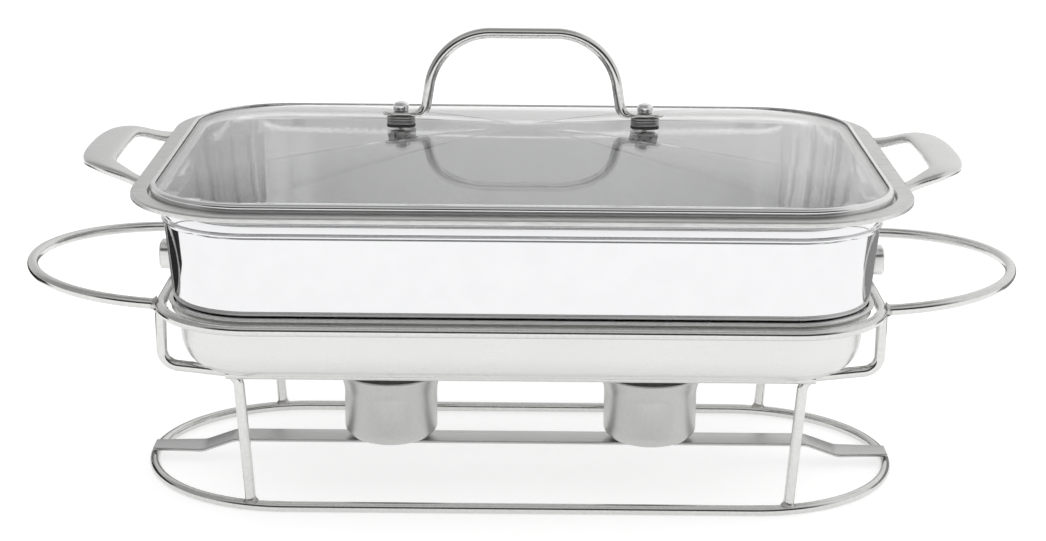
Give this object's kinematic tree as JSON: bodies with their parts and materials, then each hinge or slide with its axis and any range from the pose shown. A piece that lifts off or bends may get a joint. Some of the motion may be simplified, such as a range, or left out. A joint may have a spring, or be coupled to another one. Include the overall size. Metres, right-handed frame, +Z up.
{
  "type": "chafing dish food warmer",
  "caption": "Buffet food warmer: wire stand with two burner cups, water pan, oblong food pan and domed glass lid with arch handle.",
  "frame": {"origin": "centre of the footprint, on the table", "axes": "+X to the right along the long side, -Y towards the front, +Z up"},
  "size_m": [0.612, 0.31, 0.2779],
  "materials": {
    "polished_wire": "bright drawn stainless wire",
    "satin_steel": "satin stainless sheet",
    "mirror_steel": "mirror-polished stainless sheet",
    "strip_steel": "mill-finish stainless strip",
    "cast_steel": "fine satin cast stainless",
    "lid_glass": "clear tempered glass",
    "dark_gasket": "matt heat-proof silicone"
  },
  "bodies": {
    "stand": {"base_wire_front": "polished_wire", "base_wire_rear": "polished_wire", "base_end_left": "polished_wire", "base_end_right": "polished_wire", "upper_ring": "polished_wire", "leg_front_left": "polished_wire", "leg_front_right": "polished_wire", "leg_rear_left": "polished_wire", "leg_rear_right": "polished_wire", "rail_front": "polished_wire", "rail_rear": "polished_wire", "side_loop_left": "polished_wire", "side_loop_right": "polished_wire", "pan_guide_left": "satin_steel", "pan_guide_right": "satin_steel", "burner_strip": "strip_steel"},
    "water_pan": {"water_pan": "satin_steel"},
    "food_pan": {"food_pan": "mirror_steel", "pan_handle_left": "cast_steel", "pan_handle_right": "cast_steel"},
    "lid": {"lid_rim": "mirror_steel", "lid_glass": "lid_glass", "lid_handle": "polished_wire", "lid_screw_left": "mirror_steel", "lid_spacer_left": "satin_steel", "lid_gasket_left": "dark_gasket", "lid_washer_left": "satin_steel", "lid_nut_left": "satin_steel", "lid_screw_right": "mirror_steel", "lid_spacer_right": "satin_steel", "lid_gasket_right": "dark_gasket", "lid_washer_right": "satin_steel", "lid_nut_right": "satin_steel"},
    "cup_left": {"burner_cup_left": "satin_steel"},
    "cup_right": {"burner_cup_right": "satin_steel"}
  },
  "joints": [
    {"name": "water_pan_lift", "type": "slide", "parent": "stand", "child": "water_pan", "axis": [0, 0, 1], "range_m": [0, 0.1]},
    {"name": "food_pan_lift", "type": "slide", "parent": "water_pan", "child": "food_pan", "axis": [0, 0, 1], "range_m": [0, 0.1]},
    {"name": "lid_lift", "type": "slide", "parent": "food_pan", "child": "lid", "axis": [0, 0, 1], "range_m": [0, 0.1]},
    {"name": "cup_left_slide", "type": "slide", "parent": "stand", "child": "cup_left", "axis": [0, -1, 0], "range_m": [0, 0.2]},
    {"name": "cup_right_slide", "type": "slide", "parent": "stand", "child": "cup_right", "axis": [0, -1, 0], "range_m": [0, 0.2]}
  ]
}
